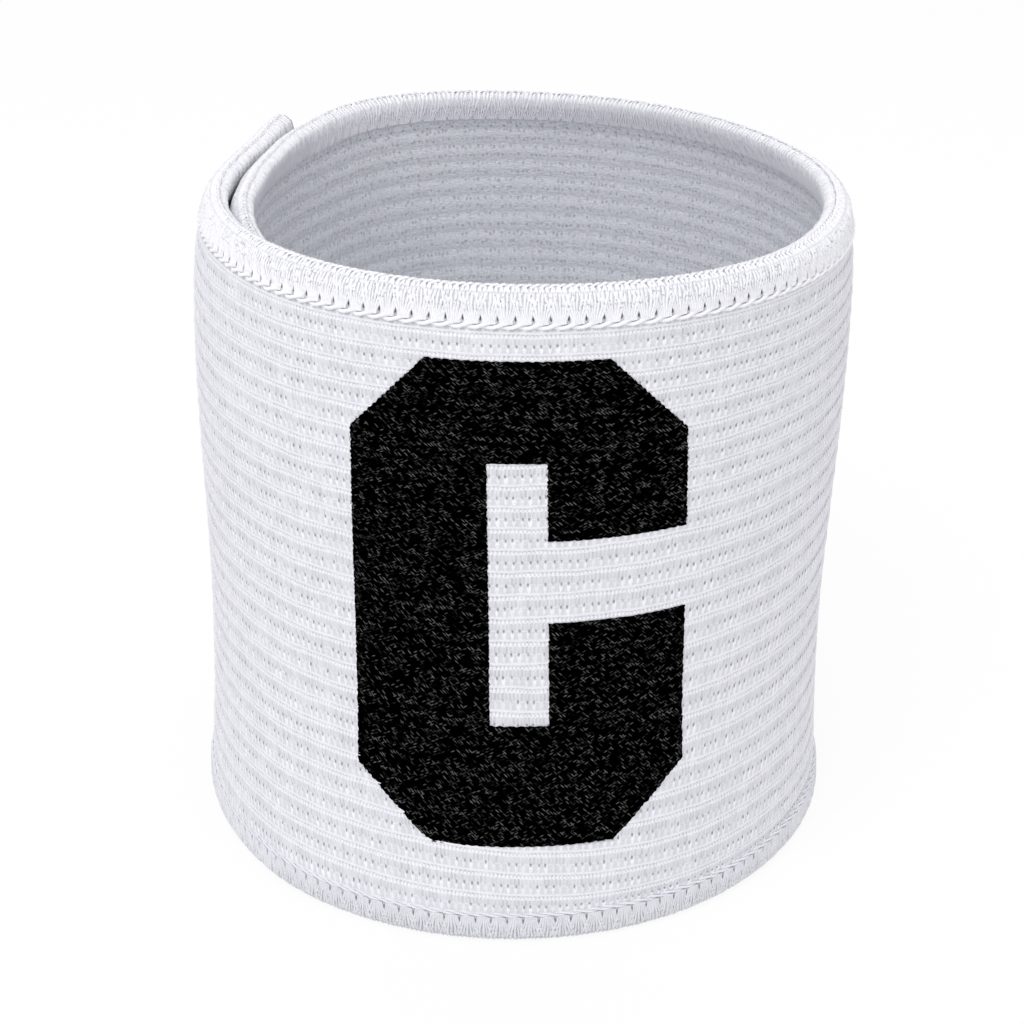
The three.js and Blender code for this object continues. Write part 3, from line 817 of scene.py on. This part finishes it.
def bend_round(piece, height_of):
    """Bends a flat piece round the loop: x along the strip, y outwards, z the distance from the edge."""
    points = read_points(piece.data)
    along = np.clip(points[:, 0], 0, STRIP_LENGTH)
    turns = STRIP_START + along / STRIP_LENGTH * (STRIP_END - STRIP_START)
    mesh = piece.data
    layer = mesh.uv_layers[0] if mesh.uv_layers else mesh.uv_layers.new()
    layer.name = "flat"
    from_edge = points[:, 2] + INNER_MAP * (points[:, 1] < 0)
    write_flat_map(mesh, layer, np.stack([along / FAN_PITCH, from_edge], axis=-1))
    write_points(mesh, wall_point(turns, height_of(points[:, 2]), points[:, 1]))


def thread_material(name, light, dark, gap):
    """White sewing thread with fine fibres, and small painted shadows where its strands part near the crest.
    """
    material, start, shader = start_material(name, roughness=0.8, sheen=0.1, specular=0.2)
    place = start.node("ShaderNodeTexCoord", output="Object")
    noise = start.node("ShaderNodeTexNoise", inputs={"Vector": place, "Scale": 7000.0, "Detail": 3.0})
    broad = start.node("ShaderNodeTexNoise", inputs={"Vector": place, "Scale": 900.0, "Detail": 2.0})
    tone = (noise - 0.5) * 0.7 + (broad - 0.5) * 0.5
    along, drop = flat_place(start)
    # Rows of small gaps between the strands, each row half a gap on from the last, painted as shade
    down = drop * PARTINGS[1]
    across = along * PARTINGS[0] + down.whole() * 0.5
    first, second, third = stitch_chance(start, across, down)
    parted = (across.fraction() - 0.5 + (first - 0.5) * 0.4) * 0.9
    parted = parted.spot(down.fraction() - 0.5 + (third - 0.5) * 0.5, 0.13, 0.17)
    parted = parted * second.fade(0.2, 0.9) * drop.between(0.45, 2.1, 0.15)
    # Painted shade in the line beside the chain on the crest, in the grooves between the plies of each
    # strand, and on the inner side, which faces into the loop
    line = drop.between(0.38, 0.55, 0.08) * 0.35
    ply = ((along * PLIES + drop * 0.9 + broad).wave() * 0.5 + 0.5).fade(0.5, 1.0) * 0.15
    inside = drop.fade(INNER_MAP + 0.3, INNER_MAP + 1.0) * 0.3
    yarn = tone.fade(-0.35, 0.35).blend(dark, light)
    shadow = parted.most(line).most(ply).most(inside)
    # The gap colour is the colour of this painted shade
    finish_material(start, shader, shadow.blend(yarn, gap), noise - parted - ply, 0.08)
    return material


def roll_material(name, yarn, gap, hole_shade):
    """Packed thread under the strands, with painted shade in the small needle holes at the foot of the gaps
    between fans and in a line above each.
    """
    material, start, shader = start_material(name, roughness=0.95)
    along, drop = flat_place(start)
    # Fine threads of the roll, with painted shade in the gaps between them
    fine = ((along * 6.0 + drop * 0.8).wave() * 0.5 + 0.5) * 0.5
    from_hole = along.fraction().least(1 - along.fraction()) * FAN_PITCH
    # Painted shade in each needle hole and in a line above it between the fans
    hole = (from_hole * 2.4).spot(drop - (BORDER_REACH - 0.5), 0.26, 0.14)
    needle_line = from_hole.fade(0.1, 0.03) * drop.between(BORDER_REACH - 1.6, BORDER_REACH - 0.7, 0.2) * 0.35
    noise = start.node("ShaderNodeTexNoise", inputs={"Scale": 5000.0, "Detail": 2.0})
    colour = hole.most(needle_line).blend(fine.blend(yarn, gap), hole_shade)
    finish_material(start, shader, colour, noise, 0.1)
    return material


def fan_lines(outline, shares):
    """The strands of each kind of fan, close together at the needle holes and crossing over higher up."""
    lines = []
    places = walk_outline(outline, shares)
    # How far a fan is open: from the needle holes over the crest, and closing at its inner end
    opening = np.minimum(np.clip((shares - 0.05) / 0.4, 0, 1), np.clip((1 - shares) / 0.3, 0, 1))
    tip_gap = FAN_PITCH * FAN_SPREAD / FAN_STRANDS
    for fan in range(FAN_KINDS):
        for strand in range(FAN_STRANDS):
            from_middle = strand - (FAN_STRANDS - 1) / 2
            gap = FAN_FOOT + (tip_gap - FAN_FOOT) * opening
            sway_size, lift_size = chance.uniform(-0.14, 0.14), chance.uniform(-0.1, 0.05)
            sway = sway_size * np.sin(np.pi * 4 * shares + chance.uniform(0, 6.3))
            along = FAN_PITCH * (fan + 0.5) + from_middle * gap + sway * opening
            depth = places[:, 0] * (1 + lift_size * opening)
            lines.append(np.stack([along, depth, places[:, 1]], axis=-1))
    return lines


def twisted_pair(centre_depth, centre_drop, pitch, radius, steps):
    """Two threads twisted together along the whole strip, so that they cross once in each pitch."""
    count = round(STRIP_LENGTH / pitch)
    along = np.linspace(0, STRIP_LENGTH, count * steps + 1)
    lines = []
    for phase in (0, math.pi):
        angle = np.pi * along / pitch + phase
        depth = centre_depth + radius * np.cos(angle)
        drop = centre_drop + radius * np.sin(angle)
        lines.append(np.stack([along, depth, drop], axis=-1))
    return lines


def packed_roll(name, rounding, height_of, material):
    """The roll under the strands, closed at both ends of the strip."""
    outline = border_outline(rounding, ROLL_INSET, 3)
    stations = np.linspace(0, STRIP_LENGTH, FANS * 2 + 1)
    along, depth = np.meshgrid(stations, outline[:, 0], indexing="ij")
    drop = np.broadcast_to(outline[:, 1], along.shape)
    size = len(outline)
    faces = []
    for station in range(len(stations) - 1):
        for step in range(size):
            near, near_next = station * size + step, station * size + (step + 1) % size
            faces.append([near, near_next, near_next + size, near + size])
    faces.append(list(range(size))[::-1])
    faces.append([(len(stations) - 1) * size + step for step in range(size)])
    flat_points = np.stack([along, depth, drop], axis=-1).reshape(-1, 3)
    roll = mesh_piece(name, flat_points, faces, flat_points[:, :2], [material])
    bend_round(roll, height_of)
    return roll


def bound_edge(name, node, rounding, height_of, chain_drop, shares, thread, under_thread):
    """One bound edge: its roll, its fans of strands and the chain on its crest, as one piece."""
    roll = packed_roll(name, rounding, height_of, under_thread)
    outline = border_outline(rounding, STRAND_RADIUS, 8)
    fans = thread_curve(name + "_fans", fan_lines(outline, np.array(shares)), STRAND_RADIUS)
    repeat_along(fans, FANS // FAN_KINDS, FAN_PITCH * FAN_KINDS)
    # The strands wander a little along the strip
    points = read_points(fans.data)
    wander = 0.05 * np.sin(points[:, 0] * 1.31 + points[:, 2] * 2.2)
    points[:, 0] += wander + 0.04 * np.sin(points[:, 0] * 3.7)
    write_points(fans.data, points)
    bend_round(fans, height_of)
    chain_lines = twisted_pair(CHAIN_DEPTH, chain_drop, CHAIN_PITCH, CHAIN_RADIUS, CHAIN_STEPS)
    chain = thread_curve(name + "_chain", chain_lines, CHAIN_RADIUS)
    bend_round(chain, height_of)
    for piece in (fans, chain):
        piece.data.materials.append(thread)
    select_only([fans, chain])
    bpy.ops.object.shade_smooth()
    select_only([roll, fans, chain])
    bpy.ops.object.join()
    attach(roll, "root")
    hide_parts(node)


def down_from_top(drop):
    return BAND_HEIGHT - drop


def up_from_foot(drop):
    return drop


# The foot's thread and roll are painted darker than the top's, as painted shade on the lower edge, which
# gets less light from above; the gap and hole colours are painted shade
top_thread = thread_material(
    "top_thread", light=(0.95, 0.95, 0.98, 1), dark=(0.85, 0.85, 0.89, 1), gap=(0.42, 0.42, 0.48, 1)
)
foot_thread = thread_material(
    "foot_thread", light=(0.86, 0.86, 0.9, 1), dark=(0.72, 0.72, 0.77, 1), gap=(0.5, 0.5, 0.56, 1)
)
top_under = roll_material(
    "top_under_thread", yarn=(0.9, 0.9, 0.94, 1), gap=(0.74, 0.74, 0.8, 1), hole_shade=(0.1, 0.1, 0.12, 1)
)
foot_under = roll_material(
    "foot_under_thread", yarn=(0.8, 0.8, 0.84, 1), gap=(0.66, 0.66, 0.71, 1), hole_shade=(0.3, 0.3, 0.34, 1)
)
bound_edge(
    "top_binding", "top_border", RIM_ROUNDING, down_from_top,
    TOP_CHAIN_DROP, TOP_SHARES, top_thread, top_under,
)
bound_edge(
    "foot_binding", "bottom_border", FOOT_ROUNDING, up_from_foot,
    FOOT_CHAIN_DROP, FOOT_SHARES, foot_thread, foot_under,
)


# The needle thread: two white threads twisted along the foot of the upper binding, just below its row of
# needle holes. They hold the fold of the edge down, and the same seam runs along the lower binding.
SEAM_DEPTH = OUTER_FACE + 0.02
SEAM_DROP = BORDER_REACH + 0.22
SEAM_STEPS = 7
TOP_SEAM_RADIUS = 0.22
FOOT_SEAM_RADIUS = 0.14

for name, height_of, thread, radius in (
    ("top_needle_thread", down_from_top, top_thread, TOP_SEAM_RADIUS),
    ("foot_needle_thread", up_from_foot, foot_thread, FOOT_SEAM_RADIUS),
):
    seam_lines = twisted_pair(SEAM_DEPTH, SEAM_DROP, FAN_PITCH, radius, SEAM_STEPS)
    needle_line = thread_curve(name, seam_lines, radius, 1)
    bend_round(needle_line, height_of)
    needle_line.data.materials.append(thread)
    bpy.ops.object.shade_smooth()
    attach(needle_line, "root")


# The closure: a patch of white hook-and-loop tape sewn between the two lapped ends, which holds the loop
# shut. It is hidden when the armband is closed.
PATCH_LENGTH = 20.0
PATCH_HEIGHT = 36.0
PATCH_TURN = 66.0
PATCH_STEPS = 10


def tape_material():
    material, start, shader = start_material("closure_tape", roughness=1.0)
    place = start.node("ShaderNodeTexCoord", output="Object")
    hooks = start.node("ShaderNodeTexVoronoi", inputs={"Vector": place, "Scale": 1400.0})
    colour = hooks.fade(0.1, 0.6).blend((0.66, 0.66, 0.68, 1), (0.4, 0.4, 0.43, 1))
    finish_material(start, shader, colour, 1 - hooks, 0.3)
    return material


bpy.ops.object.select_all(action="DESELECT")
bpy.ops.mesh.primitive_cube_add(size=1)
tape = bpy.context.object
tape.name = tape.data.name = "closure_tape"
bpy.ops.object.mode_set(mode="EDIT")
bpy.ops.mesh.select_all(action="SELECT")
bpy.ops.mesh.subdivide(number_cuts=PATCH_STEPS)
bpy.ops.object.mode_set(mode="OBJECT")
tape_inner = OUTER_FACE + FIT_GAP
tape_outer = LAYER_STEP - OUTER_FACE - FIT_GAP
block = read_points(tape.data)
tape_turns = PATCH_TURN + np.degrees(block[:, 0] * PATCH_LENGTH / RING_RADIUS)
tape_heights = BAND_HEIGHT / 2 + block[:, 2] * PATCH_HEIGHT
tape_depths = tape_inner + (block[:, 1] + 0.5) * (tape_outer - tape_inner)
write_points(tape.data, wall_point(tape_turns, tape_heights, tape_depths))
bpy.ops.object.mode_set(mode="EDIT")
bpy.ops.mesh.select_all(action="SELECT")
bpy.ops.mesh.normals_make_consistent(inside=False)
bpy.ops.object.mode_set(mode="OBJECT")
tape.data.materials.append(tape_material())
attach(tape, "root")
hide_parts("closure_patch")


# The studio: a pale floor that glows a little, so that it stays almost white with hardly a shadow, a white
# sky all round, a large soft light in front and to the left, one above, and the camera, looking down.
FLOOR_GLOW = 0.85
FLOOR_SIZE = 6
SKY_LIGHT = 0.86
AIM = Vector((0, 0, 0.04))  # the middle of the armband, which the lights face
CAMERA_PLACE = (-0.00017, -0.24552, 0.1574)  # fitted to the outline in the photo
CAMERA_TILT = 63.75  # from looking straight down
CAMERA_LENS = 76.85
bpy.ops.object.select_all(action="DESELECT")
bpy.ops.mesh.primitive_plane_add(size=FLOOR_SIZE, location=(0, 0, 0))
floor = bpy.context.object
floor.name = "floor"
material, _, shader = start_material("pale_floor", roughness=1.0, specular=0.0)
shader.inputs["Base Color"].default_value = (0.13, 0.13, 0.13, 1)
shader.inputs["Emission Color"].default_value = (1, 1, 1, 1)
shader.inputs["Emission Strength"].default_value = FLOOR_GLOW
floor.data.materials.append(material)

world = bpy.context.scene.world or bpy.data.worlds.new("studio")
bpy.context.scene.world = world
world.use_nodes = True
sky = world.node_tree.nodes["Background"]
sky.inputs["Color"].default_value = (0.985, 0.985, 1.0, 1)
sky.inputs["Strength"].default_value = SKY_LIGHT


def soft_light(name, place, size, watts):
    light = bpy.data.lights.new(name, "AREA")
    light.shape = "DISK"
    light.size = size
    light.energy = watts
    lamp = bpy.data.objects.new(name, light)
    lamp.location = place
    lamp.rotation_euler = (AIM - Vector(place)).to_track_quat("-Z", "Y").to_euler()
    bpy.context.scene.collection.objects.link(lamp)


soft_light("key", (-0.25, -0.5, 0.75), 0.7, 3.0)
soft_light("top", (0.12, 0.0, 0.85), 0.8, 1.2)

camera = bpy.data.objects.new("camera", bpy.data.cameras.new("camera"))
camera.location = CAMERA_PLACE
camera.rotation_euler = Euler((math.radians(CAMERA_TILT), 0, 0))
camera.data.sensor_width = 36
camera.data.lens = CAMERA_LENS
bpy.context.scene.collection.objects.link(camera)
bpy.context.scene.camera = camera
bpy.context.scene.view_settings.view_transform = "Standard"
